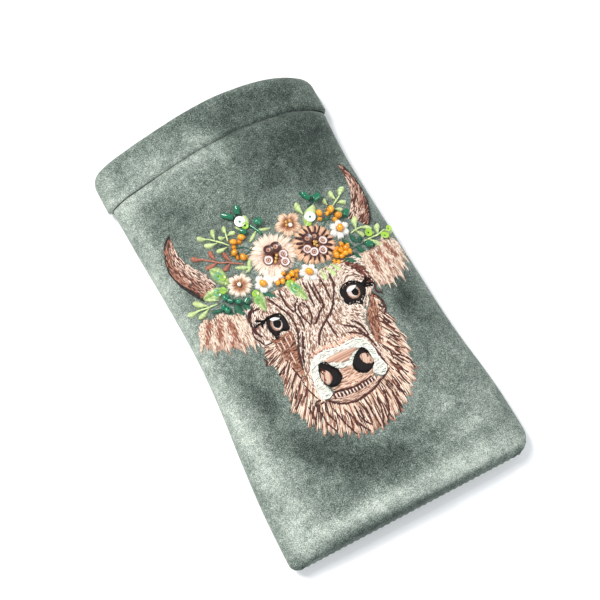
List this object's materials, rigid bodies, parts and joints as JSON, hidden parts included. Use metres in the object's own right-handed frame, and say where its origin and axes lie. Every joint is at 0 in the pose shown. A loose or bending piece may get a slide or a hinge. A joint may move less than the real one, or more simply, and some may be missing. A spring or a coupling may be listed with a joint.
{
  "type": "soft pouch glasses case",
  "caption": "Soft padded velvet glasses pouch with a squeeze-open spring mouth and an embroidered, beaded cow's head on its front.",
  "frame": {"origin": "middle of the pouch's outline, on the flat underside that it lies on", "axes": "+X across the pouch, to the right as seen from the front; +Y from the bottom seam to the mouth; +Z out of the embroidered front, up as it lies"},
  "size_m": [0.101, 0.1778, 0.0224],
  "materials": {
    "velvet": "cut-pile velvet, sage grey",
    "lining": "smooth woven satin",
    "padding": "soft white wadding",
    "backing": "non-woven embroidery stabiliser",
    "spring_steel": "bright rolled strip",
    "end_cap": "dipped black cap",
    "seam_thread": "matching sewing thread",
    "thread_pink": "pinkish cream rayon embroidery thread",
    "thread_brown": "rust brown rayon embroidery thread",
    "thread_white": "ivory rayon embroidery thread",
    "thread_black": "black rayon embroidery thread",
    "thread_peach": "peach rayon embroidery thread",
    "thread_leaf": "pale green rayon embroidery thread",
    "bead_amber": "amber glass bead",
    "bead_green": "emerald glass bead",
    "sequin_pearl": "pearl-lustre sequin"
  },
  "bodies": {
    "back": {"back_panel": "velvet", "back_padding": "padding", "back_lining": "lining", "back_casing": "velvet", "back_spring_leaf": "spring_steel", "back_leaf_cap_left": "end_cap", "back_leaf_cap_right": "end_cap", "back_casing_thread": "seam_thread", "perimeter_seam_thread": "seam_thread"},
    "front": {"amber_beads_centre": "bead_amber", "amber_beads_right": "bead_amber", "amber_beads_upper_left": "bead_amber", "amber_beads_upper_right": "bead_amber", "beard": "thread_pink", "blossom_left": "thread_white", "blossom_right": "thread_peach", "daisy_centre": "thread_white", "daisy_left": "thread_white", "daisy_right": "thread_white", "embroidery_backing": "backing", "face": "thread_pink", "front_casing": "velvet", "front_casing_thread": "seam_thread", "front_leaf_cap_left": "end_cap", "front_leaf_cap_right": "end_cap", "front_lining": "lining", "front_padding": "padding", "front_panel": "velvet", "front_spring_leaf": "spring_steel", "green_beads_lower_left": "bead_green", "green_beads_top": "bead_green", "green_beads_upper_right": "bead_green", "leaf_brow_centre": "thread_leaf", "leaf_brow_left": "thread_leaf", "leaf_left": "thread_leaf", "leaf_upper_left": "thread_leaf", "left_cheek": "thread_brown", "left_ear": "thread_pink", "left_eye": "thread_black", "left_horn": "thread_brown", "left_nostril": "thread_black", "lower_lip": "thread_pink", "muzzle_surround": "thread_white", "nose_pad": "thread_pink", "right_cheek": "thread_brown", "right_ear": "thread_pink", "right_eye": "thread_black", "right_horn": "thread_brown", "right_nostril": "thread_black", "sequin_top": "sequin_pearl", "sequin_upper_right": "sequin_pearl", "sequins_blossom_left": "sequin_pearl", "sequins_blossom_right": "sequin_pearl", "small_blossom_left": "thread_peach", "small_blossom_top": "thread_peach", "sprig_brown": "thread_brown", "sprig_lower_left": "thread_leaf", "sprig_right": "thread_leaf", "sprig_upper_left": "thread_leaf", "sprig_upper_right": "thread_leaf"}
  },
  "joints": [
    {"name": "mouth_opening", "type": "hinge", "parent": "back", "child": "front", "pos_m": [0, -0.0889, 0.0065], "axis": [1, 0, 0], "range_deg": [0, 10], "stiffness_Nm_per_rad": 4}
  ]
}
